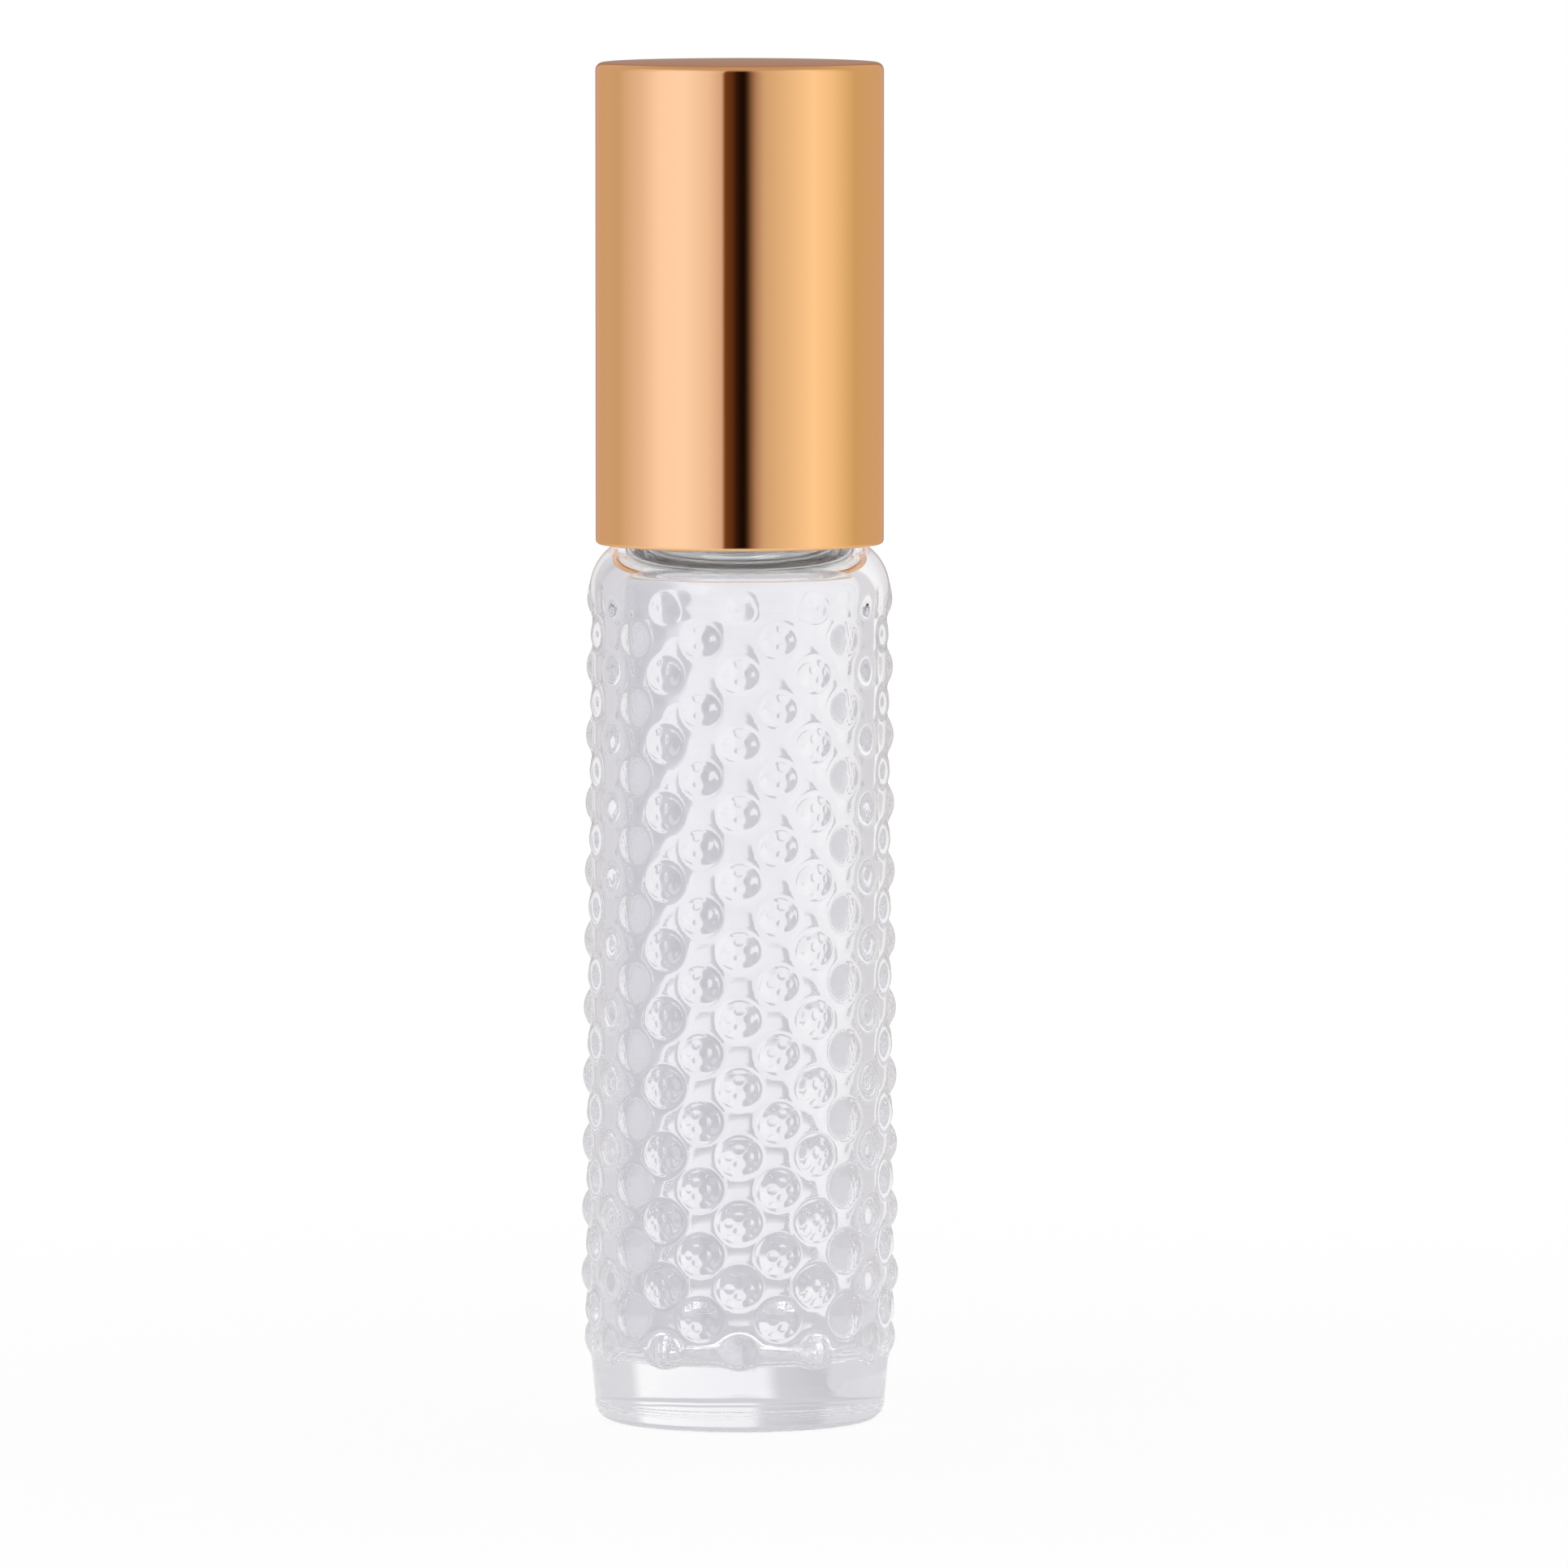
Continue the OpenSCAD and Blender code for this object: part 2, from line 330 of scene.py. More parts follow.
def inside_outline(bm, tip):
    """The rest of the glass's half section, from the rim down the bore and the hollow."""
    tip = line(bm, tip, BORE_R + BORE_EDGE_R, RIM_Z)
    tip = arc(bm, tip, (BORE_R + BORE_EDGE_R, RIM_Z - BORE_EDGE_R), 90, steps=3)
    tip = line(bm, tip, BORE_R, CAVITY_TOP_Z + BORE_EDGE_R, rows=8)
    tip = arc(bm, tip, (BORE_R + BORE_EDGE_R, CAVITY_TOP_Z + BORE_EDGE_R), 90, steps=3)
    corner = (CAVITY_R - CEILING_CORNER_R, CAVITY_TOP_Z - CEILING_CORNER_R)
    tip = line(bm, tip, corner[0], CAVITY_TOP_Z)
    tip = arc(bm, tip, corner, -90, steps=10)
    tip = line(bm, tip, CAVITY_R, FLOOR_Z + FLOOR_CORNER_R, rows=30)
    tip = arc(bm, tip, (CAVITY_R - FLOOR_CORNER_R, FLOOR_Z + FLOOR_CORNER_R), -90, steps=10)
    line(bm, tip, 0, FLOOR_Z, rows=5)


def shape_glass(bm):
    """Raises the beads, the heel's rings, the thread, the ring under it and the marks of the mould."""
    rows = bead_rows()
    for vert in bm.verts:
        r, z = vert.co.xy.length / MM, vert.co.z / MM
        if r < PLAIN_R:
            continue
        azimuth = math.atan2(vert.co.y, vert.co.x) % (2 * math.pi)
        new_r = r
        if r > OUTSIDE_R and z < RINGS_TOP:
            new_r += HEEL_RING_RISE * max(ridge(z - ring_z, HEEL_RING_HALF_W) for ring_z in HEEL_RINGS)
        elif r > OUTSIDE_R:
            new_r = beaded_r(r, azimuth, z, rows)
        elif abs(r - NECK_R) < ON_WALL and z < RIM_Z - RIM_ROUND:
            new_r += THREAD_RISE * thread_share(azimuth, z, NECK_THREAD_Z)
            new_r += TRANSFER_RING_RISE * ridge(z - TRANSFER_RING_Z, TRANSFER_RING_HALF_W)
        elif abs(r - CAVITY_R) < ON_WALL:
            lobes = math.sin(WALL_LOBES * azimuth + WALL_TWIST * z)
            new_r += WALL_WAVE * lobes * math.sin(WALL_SWELL * z + 1)
        elif z == 0 and PUNT_R < r < STAND_R:
            vert.co.z = NOTCH_DEPTH * MM * (1 + math.sin(NOTCHES * azimuth))
        vert.co.x *= new_r / r
        vert.co.y *= new_r / r


def make_glass(material):
    """The glass bottle, turned from its half section and then raised."""
    bm = bmesh.new()
    inside_outline(bm, outside_outline(bm))
    turn(bm, steps=STEPS_A_PAIR * BEAD_PAIRS)
    shape_glass(bm)
    piece(bm, "beaded_glass_bottle", "bottle", ["glass_bottle"], material)


# Roller

def make_housing(material):
    """The push-in fitment: seat, undercut lip, flange, plug and sealing ribs."""
    bm = bmesh.new()
    first = pen(bm, FEED_R, WEB_Z)
    seat_z = BALL_Z - height_on(SOCKET_R, FEED_R)
    tip = line(bm, first, FEED_R, seat_z)
    lip_h = LIP_Z - BALL_Z
    seat_angle = math.degrees(math.atan2(seat_z - BALL_Z, FEED_R))
    lip_angle = math.degrees(math.asin(lip_h / SOCKET_R))
    tip = arc(bm, tip, (0, BALL_Z), lip_angle - seat_angle, steps=32)
    tip = line(bm, tip, height_on(COLLAR_R, lip_h), LIP_Z)
    top_angle = math.degrees(math.asin(lip_h / COLLAR_R))
    low_angle = math.degrees(math.asin((FLANGE_TOP - BALL_Z) / COLLAR_R))
    tip = arc(bm, tip, (0, BALL_Z), low_angle - top_angle, steps=16)
    tip = line(bm, tip, FLANGE_R, FLANGE_TOP)
    tip = line(bm, tip, FLANGE_R, RIM_Z)
    tip = line(bm, tip, PLUG_R, RIM_Z)
    half = height_on(RIB_BUMP_R, PLUG_R - RIB_C_R)
    swing = math.degrees(math.atan2(half, PLUG_R - RIB_C_R))
    for rib_z in RIB_HEIGHTS:
        tip = line(bm, tip, PLUG_R, rib_z + half)
        tip = arc(bm, tip, (RIB_C_R, rib_z), -2 * swing, steps=10)
    tip = line(bm, tip, PLUG_R, PLUG_Z + PLUG_LEAD_IN[1])
    tip = line(bm, tip, PLUG_R - PLUG_LEAD_IN[0], PLUG_Z)
    tip = line(bm, tip, PLUG_R - PLUG_WALL, PLUG_Z)
    tip = line(bm, tip, PLUG_R - PLUG_WALL, WEB_Z)
    bm.edges.new((tip, first))
    turn(bm, steps=120)
    soften(bm, width=0.12)
    true_faces(piece(bm, "roller_fitment", "bottle", ["roller_housing"], material))


def make_ball(material):
    """The steel ball, where it rests in its seat."""
    bm = bmesh.new()
    bmesh.ops.create_uvsphere(bm, u_segments=128, v_segments=64, radius=BALL_R * MM)
    bmesh.ops.translate(bm, verts=bm.verts, vec=(0, 0, BALL_Z * MM))
    piece(bm, "steel_ball", "ball", ["roller_ball"], material)


# Cap

def make_shell(material):
    """The drawn shell of the cap: rolled rim, side, soft edge and faintly domed crown."""
    bm = bmesh.new()
    tip = pen(bm, 0, SHELL_IN_TOP)
    corner = (SHELL_IN_R - SHELL_IN_CORNER_R, SHELL_IN_TOP - SHELL_IN_CORNER_R)
    tip = line(bm, tip, corner[0], SHELL_IN_TOP, rows=3)
    tip = arc(bm, tip, corner, -90, steps=4)
    half_t = (CAP_R - SHELL_IN_R) / 2
    tip = line(bm, tip, SHELL_IN_R, CAP_Z + half_t + HOLD, rows=4)
    tip = line(bm, tip, SHELL_IN_R, CAP_Z + half_t)
    tip = arc(bm, tip, (SHELL_IN_R + half_t, CAP_Z + half_t), 180, steps=8)
    tip = line(bm, tip, CAP_R, CAP_Z + half_t + HOLD)
    tip = line(bm, tip, CAP_R, CAP_SIDE_TOP - CAP_EDGE_R - HOLD, rows=12)
    tip = line(bm, tip, CAP_R, CAP_SIDE_TOP - CAP_EDGE_R)
    tip = arc(bm, tip, (CAP_R - CAP_EDGE_R, CAP_SIDE_TOP - CAP_EDGE_R), CAP_EDGE_SWEEP, steps=10)
    crown_r = CAP_R - CAP_EDGE_R
    crown_h = CAP_TOP - CAP_SIDE_TOP
    crown_curve = (crown_r ** 2 + crown_h ** 2) / (2 * crown_h)
    swing = math.degrees(math.asin(crown_r / crown_curve))
    tip.co = (crown_r * MM, 0, CAP_SIDE_TOP * MM)
    arc(bm, tip, (0, CAP_TOP - crown_curve), swing, steps=8)
    turn(bm, steps=256)
    piece(bm, "gold_cap_shell", "cap", ["cap_shell"], material)


def run_out(verts):
    """Lets both ends of the liner's thread sink into the wall."""
    length = THREAD_LEAD / RUN_OUTS_A_TURN * MM
    low = (LINER_THREAD_Z - LINER_THREAD_PAST) * MM
    high = (LINER_THREAD_Z + THREAD_LEAD * THREAD_TURNS + LINER_THREAD_PAST) * MM
    for vert in verts:
        ends = min(vert.co.z - low, high - vert.co.z) / length
        r = vert.co.xy.length
        if ends < 1 and r < LINER_BORE_R * MM:
            wanted = LINER_BORE_R * MM - (LINER_BORE_R * MM - r) * max(ends, 0)
            vert.co.x *= wanted / r
            vert.co.y *= wanted / r


def thread_ridge(bm):
    """Adds the liner's thread: a tapered section swept along its screw line."""
    root, crest = LINER_BORE_R + LINER_THREAD_SUNK, LINER_BORE_R - LINER_THREAD_RISE
    corners = ((root, -LINER_ROOT_HALF_W), (crest, -LINER_CREST_HALF_W),
               (crest, LINER_CREST_HALF_W), (root, LINER_ROOT_HALF_W))
    section = [pen(bm, r, LINER_THREAD_Z + dz) for r, dz in corners]
    edges = [bm.edges.new((section[i], section[i - 1])) for i in range(4)]
    before = set(bm.verts) - set(section)
    bmesh.ops.spin(
        bm, geom=section + edges, cent=(0, 0, 0), axis=(0, 0, 1),
        dvec=(0, 0, THREAD_LEAD * THREAD_TURNS / LINER_THREAD_STEPS * MM),
        angle=2 * math.pi * THREAD_TURNS, steps=LINER_THREAD_STEPS)
    made = [v for v in bm.verts if v not in before]
    bmesh.ops.holes_fill(bm, edges=[e for e in bm.edges if e.is_boundary])
    run_out(made)


def crown_ribs(bm):
    """Adds the ribs between the liner's ceiling and the shell, each a bar right across."""
    low, high = CEILING_Z + CEILING_T / 2, LINER_TOP
    across = 2 * (CROWN_HOLLOW_R + CROWN_RIB_SUNK)
    size = Matrix.Diagonal((across * MM, CROWN_RIB_T * MM, (high - low) * MM, 1))
    lift = Matrix.Translation((0, 0, (low + high) / 2 * MM))
    for k in range(CROWN_RIBS // 2):
        place = Matrix.Rotation(k * 2 * math.pi / CROWN_RIBS, 4, "Z")
        bmesh.ops.create_cube(bm, size=1, matrix=lift @ place @ size)


def make_liner(material):
    """The liner of the cap: bore with thread, ceiling and ribs up to the shell."""
    bm = bmesh.new()
    tip = pen(bm, 0, CEILING_Z)
    tip = line(bm, tip, LINER_UPPER_R, CEILING_Z)
    tip = line(bm, tip, LINER_UPPER_R, LINER_STEP_Z)
    tip = line(bm, tip, LINER_BORE_R, LINER_STEP_Z)
    tip = line(bm, tip, LINER_BORE_R, LINER_Z + LINER_LEAD_IN[1])
    tip = line(bm, tip, LINER_BORE_R + LINER_LEAD_IN[0], LINER_Z)
    tip = line(bm, tip, LINER_R, LINER_Z)
    tip = line(bm, tip, LINER_R, LINER_TOP)
    tip = line(bm, tip, CROWN_HOLLOW_R, LINER_TOP)
    tip = line(bm, tip, CROWN_HOLLOW_R, CEILING_Z + CEILING_T)
    line(bm, tip, 0, CEILING_Z + CEILING_T)
    turn(bm, steps=144)
    soften(bm, width=0.15)
    thread_ridge(bm)
    crown_ribs(bm)
    bmesh.ops.recalc_face_normals(bm, faces=bm.faces)
    true_faces(piece(bm, "threaded_cap_liner", "cap", ["cap_liner"], material))


def make_seal(material):
    """The soft disc with the cup that presses on the ball."""
    bm = bmesh.new()
    cup_top = BALL_Z + SEAL_CUP_R
    drop = SEAL_Z[0] - BALL_Z
    swing = math.degrees(math.acos(drop / SEAL_CUP_R))
    tip = pen(bm, 0, cup_top)
    tip = arc(bm, tip, (0, BALL_Z), -swing, steps=12)
    tip = line(bm, tip, SEAL_R, SEAL_Z[0])
    tip = line(bm, tip, SEAL_R, SEAL_Z[1])
    line(bm, tip, 0, SEAL_Z[1])
    turn(bm, steps=96)
    soften(bm, width=0.2)
    true_faces(piece(bm, "soft_ball_seal", "seal", ["cap_seal"], material))


# Materials

ROUGHNESS_SPREAD = 0.06
GOLD_GRAIN_STRETCH = (1, 1, 0.04)


def colour(hex_code, alpha=1.0):
    """A linear colour from an sRGB hex code."""
    parts = [int(hex_code[i:i + 2], 16) / 255 for i in (1, 3, 5)]
    return tuple(c / 12.92 if c <= 0.04045 else ((c + 0.055) / 1.055) ** 2.4 for c in parts) + (alpha,)


def add(tree, kind, settings=None, inputs=None):
    """Adds a node with its own settings, and with values or other nodes' outputs for its inputs."""
    node = tree.nodes.new(kind)
    for name, value in (settings or {}).items():
        setattr(node, name, value)
    for name, value in (inputs or {}).items():
        if isinstance(value, bpy.types.NodeSocket):
            tree.links.new(value, node.inputs[name])
        else:
            node.inputs[name].default_value = value
    return node


def per_mm(size):
    """Scale of a pattern whose features are this many millimetres wide."""
    return 1 / (size * MM)


def new_material(name):
    """An empty material, its node tree and the object's own coordinates."""
    made = bpy.data.materials.new(name)
    made.use_nodes = True
    made.node_tree.nodes.clear()
    place = add(made.node_tree, "ShaderNodeTexCoord").outputs["Object"]
    return made, made.node_tree, place


def finish_material(tree, surface):
    """Puts the shader on the surface."""
    add(tree, "ShaderNodeOutputMaterial", inputs={"Surface": surface.outputs["BSDF"]})


def clear_glass():
    """Pressed soda-lime flint glass: clear and faintly cool, with the soft ripple left by the mould."""
    made, tree, place = new_material("pressed_flint_glass")
    ripple = add(tree, "ShaderNodeTexNoise", inputs={
        "Vector": place, "Scale": per_mm(3), "Detail": 1.0, "Roughness": 0.4})
    bump = add(tree, "ShaderNodeBump", inputs={
        "Height": ripple.outputs["Fac"], "Strength": 0.35, "Distance": 0.05 * MM})
    surface = add(tree, "ShaderNodeBsdfPrincipled", inputs={
        "Base Color": colour("#FBFBFC"), "Roughness": 0.0, "IOR": 1.51,
        "Transmission Weight": 1.0, "Normal": bump.outputs["Normal"]})
    finish_material(tree, surface)
    return made


def gold_aluminium():
    """Deep-drawn aluminium, bright dipped and anodised pale gold: clear bands of reflection with
    edges a little soft."""
    made, tree, place = new_material("gold_anodised_aluminium")
    drawn = add(tree, "ShaderNodeMapping", inputs={"Vector": place, "Scale": GOLD_GRAIN_STRETCH})
    grain = add(tree, "ShaderNodeTexNoise", inputs={
        "Vector": drawn.outputs["Vector"], "Scale": per_mm(0.4), "Detail": 3.0, "Roughness": 0.6})
    rough = add(tree, "ShaderNodeMapRange", inputs={
        "Value": grain.outputs["Fac"], "To Min": 0.03, "To Max": 0.07})
    bump = add(tree, "ShaderNodeBump", inputs={
        "Height": grain.outputs["Fac"], "Strength": 0.05, "Distance": 0.01 * MM})
    surface = add(tree, "ShaderNodeBsdfPrincipled", inputs={
        "Base Color": colour("#FFCC97"), "Metallic": 1.0, "Specular Tint": colour("#FFE2CB"),
        "Roughness": rough.outputs["Result"], "Normal": bump.outputs["Normal"]})
    finish_material(tree, surface)
    return made


def polished_steel():
    """Stainless bearing steel, ground and polished: a neutral mirror with hair-fine marks."""
    made, tree, place = new_material("polished_stainless_steel")
    marks = add(tree, "ShaderNodeTexNoise", inputs={
        "Vector": place, "Scale": per_mm(0.25), "Detail": 4.0})
    rough = add(tree, "ShaderNodeMapRange", inputs={
        "Value": marks.outputs["Fac"], "To Min": 0.03, "To Max": 0.08})
    surface = add(tree, "ShaderNodeBsdfPrincipled", inputs={
        "Base Color": colour("#C0C2C6"), "Metallic": 1.0, "Roughness": rough.outputs["Result"]})
    finish_material(tree, surface)
    return made


def moulded_plastic(name, hex_code, roughness, cloud, grain_mm):
    """Injection-moulded polyolefin: milky, with a fine even grain from the steel of the mould."""
    made, tree, place = new_material(name)
    grain = add(tree, "ShaderNodeTexNoise", inputs={
        "Vector": place, "Scale": per_mm(grain_mm), "Detail": 2.0})
    rough = add(tree, "ShaderNodeMapRange", inputs={
        "Value": grain.outputs["Fac"], "To Min": roughness - ROUGHNESS_SPREAD,
        "To Max": roughness + ROUGHNESS_SPREAD})
    bump = add(tree, "ShaderNodeBump", inputs={
        "Height": grain.outputs["Fac"], "Strength": 0.15, "Distance": 0.01 * MM})
    surface = add(tree, "ShaderNodeBsdfPrincipled", inputs={
        "Base Color": colour(hex_code), "Roughness": rough.outputs["Result"], "IOR": 1.5,
        "Subsurface Weight": cloud, "Subsurface Radius": (1.0, 1.0, 1.0),
        "Subsurface Scale": 0.8 * MM, "Normal": bump.outputs["Normal"]})
    finish_material(tree, surface)
    return made


# Studio. Its places are in metres, and its tones by distance in millimetres

WHITE = "#FFFFFF"
PAPER = "#FCFCFC"
FLOOR_R = 0.45
CAMERA_AT = (0.00286, -0.980, 0.118)
LOOKS_AT = (0.00286, 0.0, 0.0412)
LENS = 349
LIGHTS_AIM = (0, 0, 0.04)
FILL_STRENGTH = 0.6

# Glass surfaces that light crosses, and times that it scatters between pale plastics
GLASS_BOUNCES = 24
SCATTER_BOUNCES = 12

# What polished surfaces mirror, by direction: degrees from the front towards the right, and the tone
# there. Two tall softboxes, the left one cooler, stand either side of the camera and its dark
# surround, and a brown flat stands behind the bottle
MIRROR_STRENGTH = 1.2
MIRRORED = (
    (-180, "#9C877C"), (-171, "#9C877C"), (-163, "#C0BDBB"), (-114, "#BBB2A4"), (-84, "#D6D0D8"),
    (-67, "#EAEAF8"), (-45, "#ECEEFF"), (-25, "#DCD8E2"), (-13.4, "#C4B8BE"), (-12.2, "#6A4424"),
    (-5.5, "#523420"), (-2.6, "#301C11"), (1.5, "#170C06"), (4.0, "#180C06"), (6.5, "#3B2C20"),
    (10.4, "#827067"), (13.5, "#A3928C"), (20, "#C1B8AD"), (62, "#ECE6DA"), (78, "#E2DAC6"),
    (106, "#BEB294"), (163, "#C0BDBA"), (171, "#9C877C"), (180, "#9C877C"))

# Cards that show through the glass: degrees from the back towards the right, and the tone there.
# Bright windows stand between grey cards on every side, and the ceiling takes over above, between
# two heights in degrees
CARDS = (
    (-180, "#F8F7FA"), (-172, "#FFFFFF"), (-160, "#FFFFFF"), (-155, "#D8D7DB"), (-126, "#DCDBDF"),
    (-121, "#F4F3F6"), (-103, "#F4F3F6"), (-98, "#D8D7DC"), (-75, "#D6D5DA"), (-50, "#DCDBE0"),
    (-28, "#DAD9DE"), (-24, "#C9C8CD"), (-18, "#CAC9CE"), (-6.5, "#D3D2D7"), (-3.5, "#F6F5F8"),
    (8, "#F8F7FA"), (24, "#FFFFFF"), (31, "#FFFFFF"), (36, "#DEDCDF"), (60, "#DAD9DD"),
    (92, "#D2D1D6"), (98, "#D2D1D6"), (102, "#F4F3F6"), (118, "#F4F3F6"), (123, "#DCDBDF"),
    (150, "#CFCED3"), (172, "#D3D2D7"), (176, "#F6F5F8"), (180, "#F8F7FA"))
CEILING_TONE = "#DEDDE2"
CARD_EDGE = (18, 40)

# What the metal mirrors from overhead, and the heights in degrees where that takes over
OVERHEAD_TONE = "#B4A69B"
OVERHEAD_EDGE = (35, 65)

# Strength of the light that reaches plastic through the glass, from around and from just below, where
# the floor near the bottle glows with it as painted light
BEHIND_GLASS = 1.1
PAINTED_GLOW_BELOW_GLASS = 5.5

# How bright the floor looks through the glass at most, by distance from the bottle: painted shade, grey
# near the bottle and white further off
PAINTED_FLOOR_SHADE = ((0, "#D2D1D6"), (50, "#D2D1D6"), (95, "#FAF9FC"), (450, "#FFFFFF"))

# How far the cards' tones, painted on the floor as light and shade, are turned there, in degrees towards
# the left
FLOOR_TURN = 2.7

# Between which distances the floor changes: for the camera from shaded paper to plain white, for
# plastic behind glass from the light just below to the light around, and for metal from the paper
# to what stands further off
WHITE_FROM = (30, 150)
WHITE_SHARE = (0.88, 1.0)
BELOW_TO_AROUND = (70, 130)
PAPER_TO_MIRRORED = (50, 200)


def ramp(tree, factor, stops):
    """A ramp of tones over the stops, each a place and the tone there."""
    node = add(tree, "ShaderNodeValToRGB", inputs={"Fac": factor})
    points = node.color_ramp.elements
    points[0].color, points[1].color = colour(stops[0][1]), colour(stops[-1][1])
    first, last = stops[0][0], stops[-1][0]
    for at, tone in stops[1:-1]:
        points.new((at - first) / (last - first)).color = colour(tone)
    return node.outputs["Color"]


def direction(tree, place, facing):
    """Share of a full turn, 0.5 straight to the front (-1) or the back (1) of the studio."""
    parts = add(tree, "ShaderNodeSeparateXYZ", inputs={"Vector": place})
    depth = add(tree, "ShaderNodeMath", {"operation": "MULTIPLY"}, {0: parts.outputs["Y"], 1: facing})
    angle = add(tree, "ShaderNodeMath", {"operation": "ARCTAN2"},
                {0: parts.outputs["X"], 1: depth.outputs[0]})
    return add(tree, "ShaderNodeMath", {"operation": "MULTIPLY_ADD"},
               {0: angle.outputs[0], 1: 0.5 / math.pi, 2: 0.5}).outputs[0]


def share_above(tree, place, low, high):
    """How far a ray has risen from one height to another, both in degrees."""
    parts = add(tree, "ShaderNodeSeparateXYZ", inputs={"Vector": place})
    return add(tree, "ShaderNodeMapRange", inputs={
        "Value": parts.outputs["Z"], "From Min": math.sin(math.radians(low)),
        "From Max": math.sin(math.radians(high))}).outputs["Result"]


def by_distance(tree, away, reach, values=(0.0, 1.0)):
    """A value that goes from one to another between two distances from the bottle."""
    return add(tree, "ShaderNodeMapRange", inputs={
        "Value": away, "From Min": reach[0] * MM, "From Max": reach[1] * MM,
        "To Min": values[0], "To Max": values[1]}).outputs["Result"]


def glow(tree, tone, strength=1.0):
    """Light of the world."""
    return add(tree, "ShaderNodeBackground", inputs={"Color": tone, "Strength": strength}).outputs[0]


def shine(tree, tone, strength=1.0):
    """Light of a surface."""
    return add(tree, "ShaderNodeEmission", inputs={"Color": tone, "Strength": strength}).outputs[0]


def mix(tree, share, first, second):
    """The first shader, replaced by the second as far as the share says."""
    return add(tree, "ShaderNodeMixShader", inputs={"Fac": share, 1: first, 2: second}).outputs[0]


def scattered(tree, path):
    """1 for light that has left a matt surface, 0 for light on its straight way to the eye."""
    return add(tree, "ShaderNodeMath", {"operation": "MINIMUM"},
               {0: path.outputs["Diffuse Depth"], 1: 1.0}).outputs[0]


def make_world():
    """Surroundings that differ for what is mirrored, seen through the glass and seen directly."""
    world = bpy.data.worlds.new("studio")
    bpy.context.scene.world = world
    world.use_nodes = True
    tree = world.node_tree
    tree.nodes.clear()
    place = add(tree, "ShaderNodeTexCoord").outputs["Generated"]
    path = add(tree, "ShaderNodeLightPath")
    white = glow(tree, colour(WHITE))
    mirrored = glow(tree, ramp(tree, direction(tree, place, -1.0), MIRRORED), MIRROR_STRENGTH)
    overhead = glow(tree, colour(OVERHEAD_TONE), MIRROR_STRENGTH)
    mirrored = mix(tree, share_above(tree, place, *OVERHEAD_EDGE), mirrored, overhead)
    cards = glow(tree, ramp(tree, direction(tree, place, 1.0), CARDS))
    ceiling = glow(tree, colour(CEILING_TONE))
    behind = mix(tree, share_above(tree, place, *CARD_EDGE), cards, ceiling)
    behind = mix(tree, scattered(tree, path), behind, glow(tree, colour(WHITE), BEHIND_GLASS))
    shader = mix(tree, path.outputs["Is Glossy Ray"], glow(tree, colour(WHITE), FILL_STRENGTH), mirrored)
    shader = mix(tree, path.outputs["Is Transmission Ray"], shader, behind)
    shader = mix(tree, path.outputs["Is Camera Ray"], shader, white)
    add(tree, "ShaderNodeOutputWorld", inputs={"Surface": shader})


def seen_through_glass(tree, place, away, path):
    """The floor behind the glass glows, as painted light and shade: the cards' tones and a painted shade
    near the bottle to the eye, and a stronger glow that lights the plastic.
    """
    outwards = add(tree, "ShaderNodeMath", {"operation": "DIVIDE"}, {
        0: away, 1: PAINTED_FLOOR_SHADE[-1][0] * MM}).outputs[0]
    facing = add(tree, "ShaderNodeMath", {"operation": "ADD"}, {
        0: direction(tree, place, 1.0), 1: FLOOR_TURN / 360}).outputs[0]
    # The cards' tones painted on the floor as light and shade, held under the painted shade near the
    # bottle
    tone = add(tree, "ShaderNodeVectorMath", {"operation": "MINIMUM"}, {
        0: ramp(tree, facing, CARDS), 1: ramp(tree, outwards, PAINTED_FLOOR_SHADE)}).outputs["Vector"]
    # Painted light: the floor glows, most strongly near the bottle, to light the plastic behind the
    # glass
    strength = by_distance(tree, away, BELOW_TO_AROUND, (PAINTED_GLOW_BELOW_GLASS, BEHIND_GLASS))
    return mix(tree, scattered(tree, path), shine(tree, tone),
               shine(tree, colour(WHITE), strength))


def floor_material():
    """Matt white paper: white to the camera, but for the object's soft shadow. Metal mirrors the paper
    near the bottle, and further off the floor glows with the surroundings' tones. Through the glass it
    glows with painted light and shade."""
    made, tree, place = new_material("paper_floor_with_painted_light_and_shade")
    path = add(tree, "ShaderNodeLightPath")
    away = add(tree, "ShaderNodeVectorMath", {"operation": "LENGTH"}, {0: place}).outputs["Value"]
    paper = add(tree, "ShaderNodeBsdfDiffuse", inputs={"Color": colour(PAPER)}).outputs[0]
    shaded = mix(tree, by_distance(tree, away, WHITE_FROM, WHITE_SHARE), paper,
                 shine(tree, colour(WHITE)))
    surroundings = shine(tree, ramp(tree, direction(tree, place, -1.0), MIRRORED), MIRROR_STRENGTH)
    mirrored = mix(tree, by_distance(tree, away, PAPER_TO_MIRRORED), paper, surroundings)
    shader = mix(tree, path.outputs["Is Glossy Ray"], paper, mirrored)
    shader = mix(tree, path.outputs["Is Transmission Ray"], shader,
                 seen_through_glass(tree, place, away, path))
    shader = mix(tree, path.outputs["Is Camera Ray"], shader, shaded)
    add(tree, "ShaderNodeOutputMaterial", inputs={"Surface": shader})
    return made


def make_floor():
    """A round sheet of paper under the bottle."""
    bm = bmesh.new()
    bmesh.ops.create_circle(bm, cap_ends=True, radius=FLOOR_R, segments=128)
    mesh = bpy.data.meshes.new("floor")
    bm.to_mesh(mesh)
    bm.free()
    floor = bpy.data.objects.new("floor", mesh)
    floor.data.materials.append(floor_material())
    bpy.context.scene.collection.objects.link(floor)


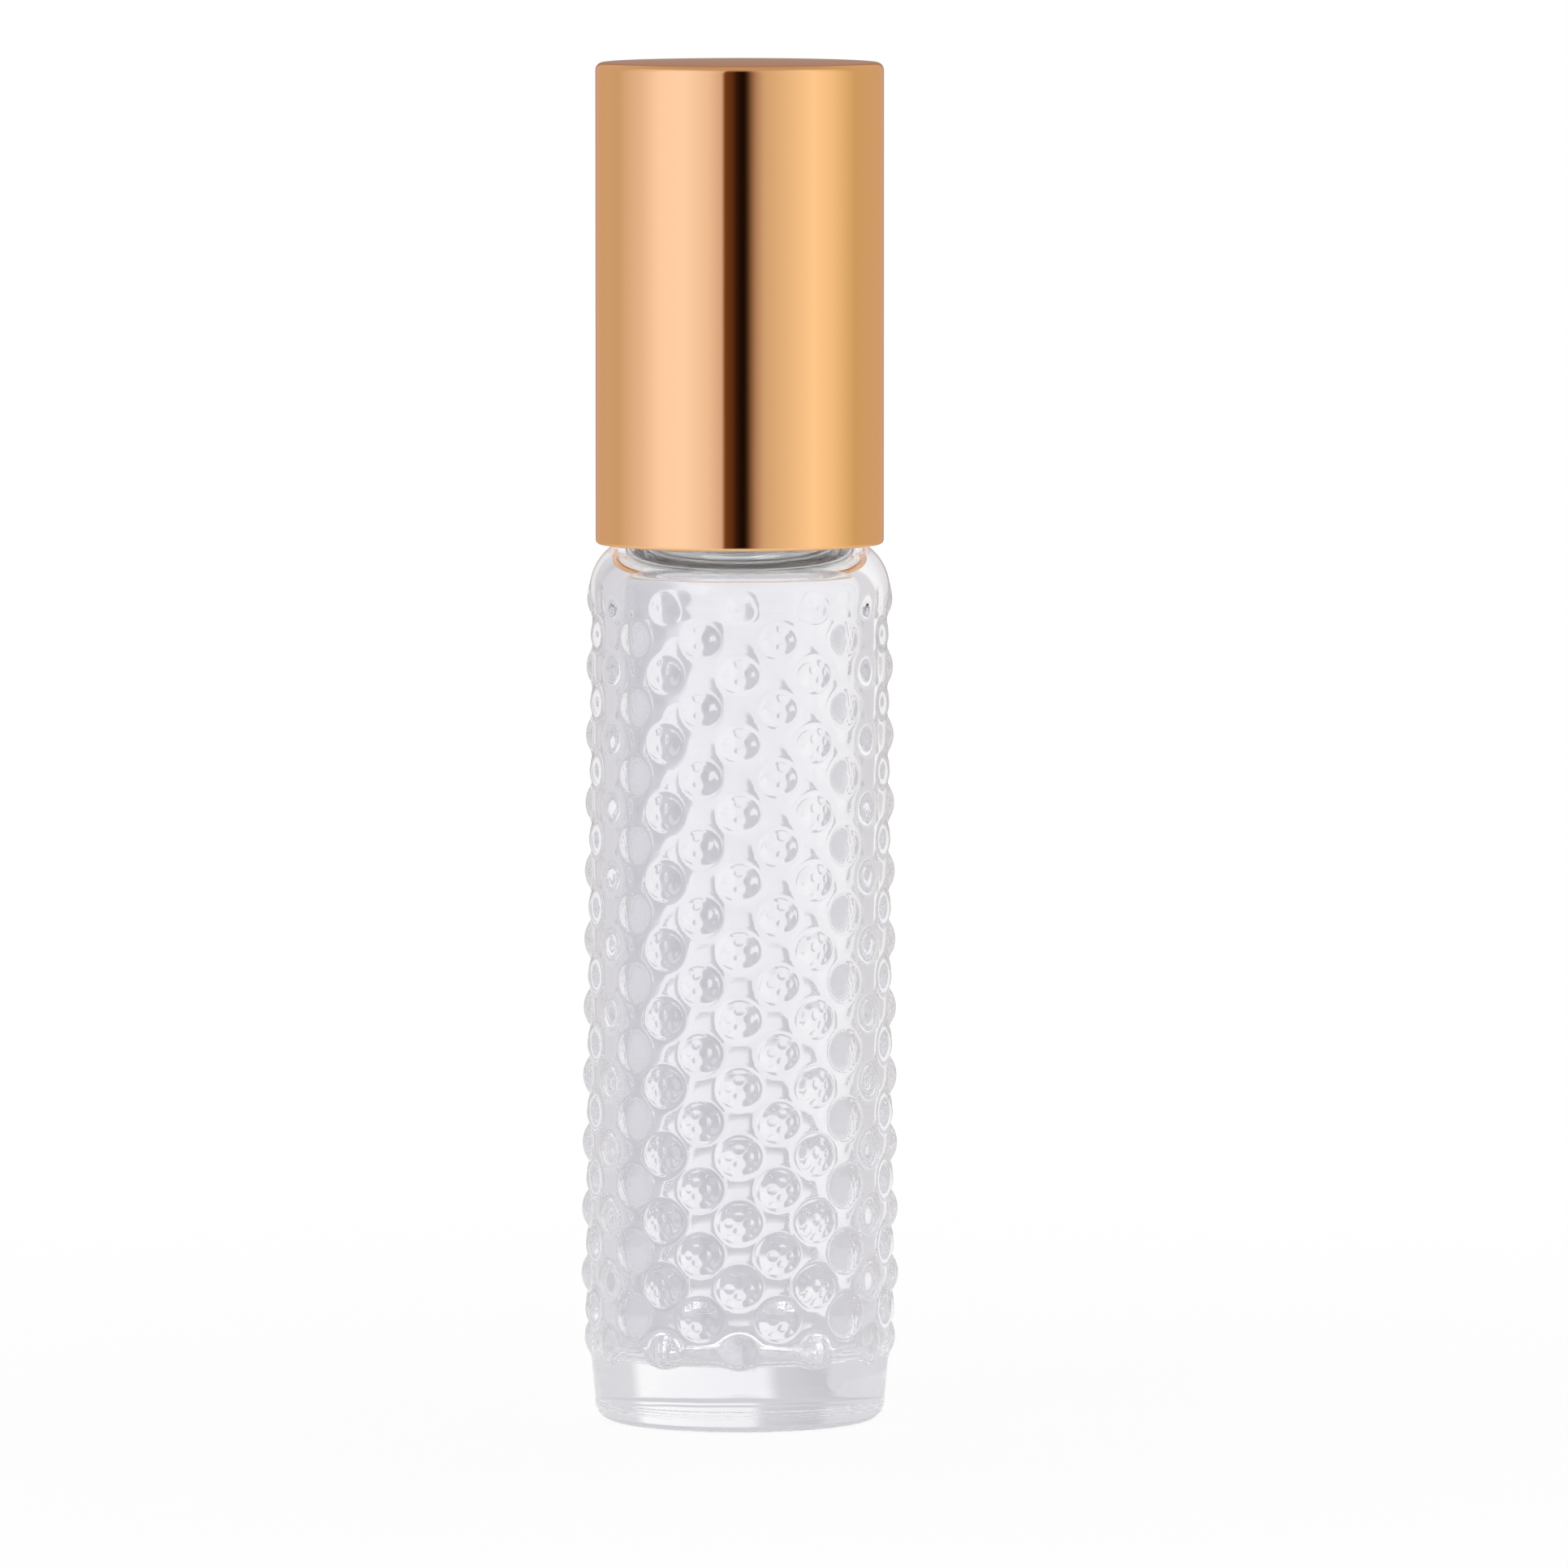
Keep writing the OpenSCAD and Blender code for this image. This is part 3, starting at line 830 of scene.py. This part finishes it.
def soft_light(name, at, aim, size, watts):
    """A softbox that lights the object but isn't mirrored in it."""
    light = bpy.data.lights.new(name, "AREA")
    light.shape, light.size, light.energy = "SQUARE", size, watts
    made = bpy.data.objects.new(name, light)
    made.location = at
    made.rotation_euler = (Vector(aim) - Vector(at)).to_track_quat("-Z", "Y").to_euler()
    made.visible_glossy = False
    bpy.context.scene.collection.objects.link(made)


def make_camera():
    """A long lens, a little above the bottle, as in the photograph."""
    data = bpy.data.cameras.new("camera")
    data.lens, data.sensor_width = LENS, 36
    data.clip_start, data.clip_end = 0.01, 20
    made = bpy.data.objects.new("camera", data)
    made.location = CAMERA_AT
    made.rotation_euler = (Vector(LOOKS_AT) - Vector(CAMERA_AT)).to_track_quat("-Z", "Y").to_euler()
    bpy.context.scene.collection.objects.link(made)
    bpy.context.scene.camera = made


def let_light_through():
    """Lets light cross as many glass surfaces as the beads put in its way."""
    cycles = bpy.context.scene.cycles
    cycles.max_bounces = cycles.transmission_bounces = cycles.glossy_bounces = GLASS_BOUNCES
    cycles.diffuse_bounces = SCATTER_BOUNCES


make_glass(clear_glass())
# Unpigmented polyethylene: milky, waxy and half clear at its edges
make_housing(moulded_plastic("natural_polyethylene", "#F6F7F6", roughness=0.32, cloud=0.5, grain_mm=0.3))
make_ball(polished_steel())
make_shell(gold_aluminium())
# Pigmented polypropylene: a clean white with a soft sheen
make_liner(moulded_plastic("white_polypropylene", "#F6F5F3", roughness=0.38, cloud=0.2, grain_mm=0.3))
# Thermoplastic elastomer: greyer and dull, as a rubbery surface is
make_seal(moulded_plastic("soft_white_elastomer", "#E4E3DE", roughness=0.6, cloud=0.3, grain_mm=0.5))

make_world()
make_floor()
make_camera()
soft_light("softbox_over", at=(0.0, 0.1, 0.9), aim=LIGHTS_AIM, size=0.7, watts=2.4)
soft_light("softbox_left", at=(-0.6, -0.6, 0.5), aim=LIGHTS_AIM, size=0.5, watts=0.8)
bpy.context.scene.view_settings.view_transform = "Standard"
let_light_through()
